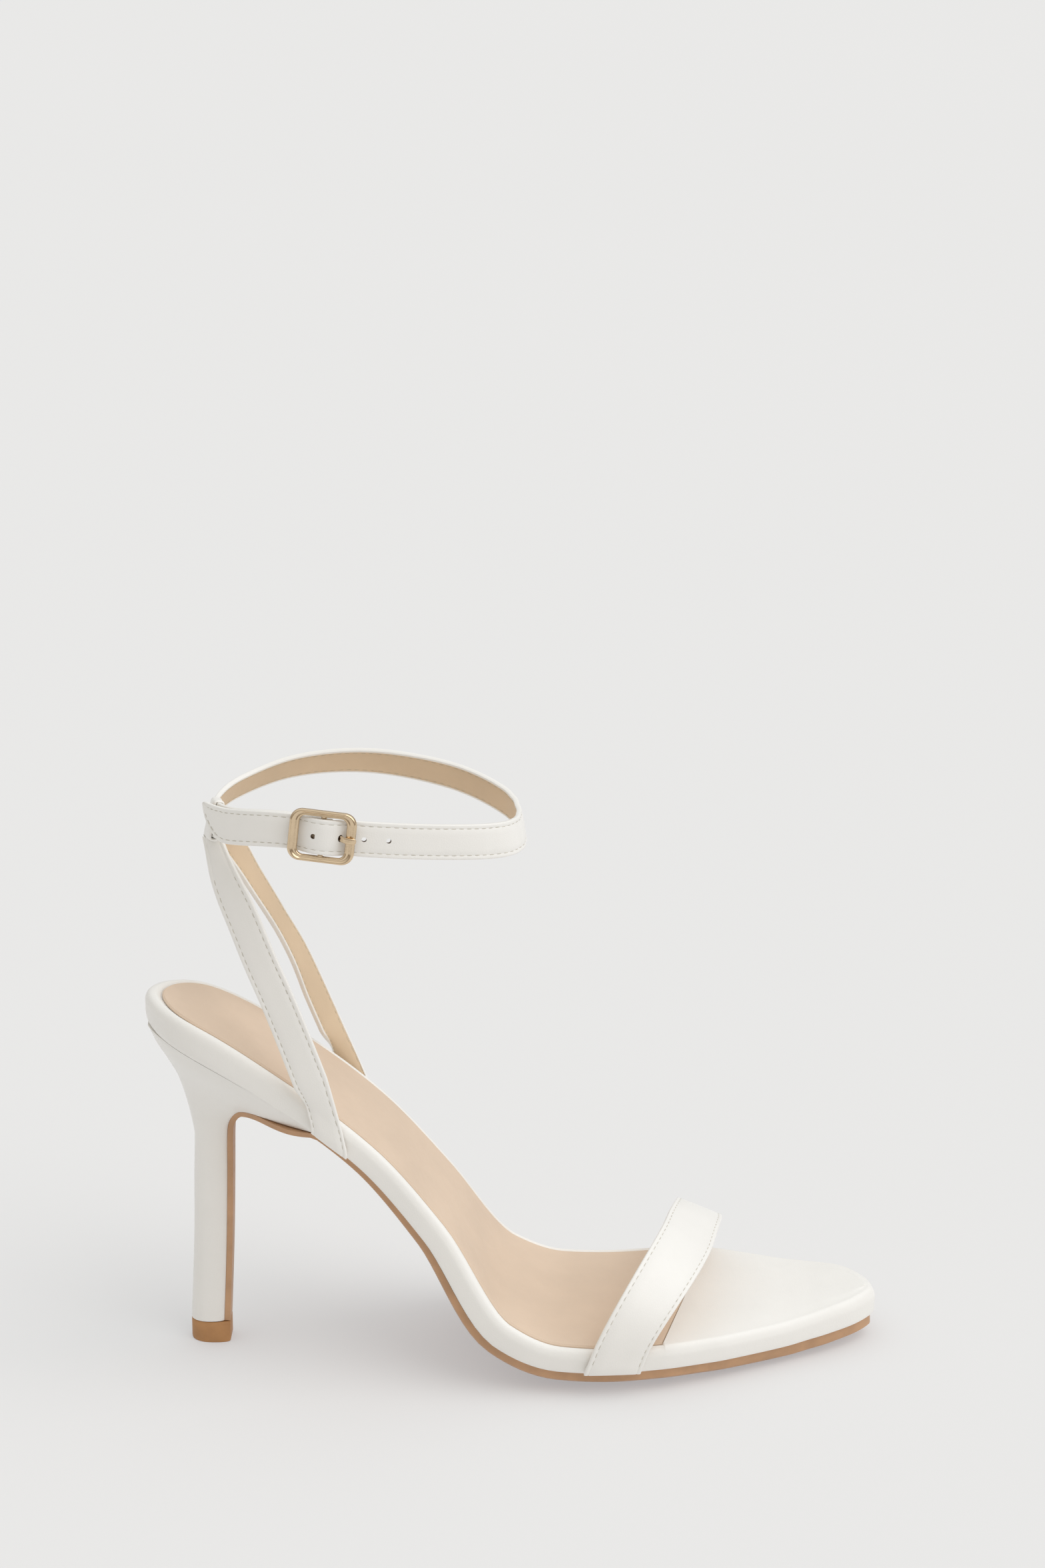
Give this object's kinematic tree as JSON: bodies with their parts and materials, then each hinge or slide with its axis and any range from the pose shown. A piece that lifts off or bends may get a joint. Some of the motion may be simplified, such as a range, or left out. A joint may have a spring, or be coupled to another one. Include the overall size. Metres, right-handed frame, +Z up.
{
  "type": "strappy heeled sandal",
  "caption": "Open-toed sandal on a slim high heel: wrapped footbed with a slanted toe strap, quarter straps meeting in a back loop, and a buckled ankle strap, right foot",
  "frame": {"origin": "on the floor under the middle of the sandal's box", "axes": "+X from heel to toe, +Y to the medial side, +Z up; the camera of the picture looks at the lateral side, from -Y"},
  "size_m": [0.2168, 0.0802, 0.1791],
  "materials": {
    "white": "smooth, satin",
    "tan_lining": "smooth, matte",
    "brown_sole": "smooth, satin",
    "brown_rubber": "matte",
    "pale_gold": "polished pale gold plating"
  },
  "bodies": {
    "root": {"footbed": "white", "insole": "tan_lining", "outsole": "brown_sole", "heel": "white", "heel_top_piece": "brown_rubber", "toe_strap": "white", "quarter_straps": "white", "ankle_strap": "white", "buckle_frame": "pale_gold", "buckle_prong": "pale_gold"}
  },
  "joints": []
}
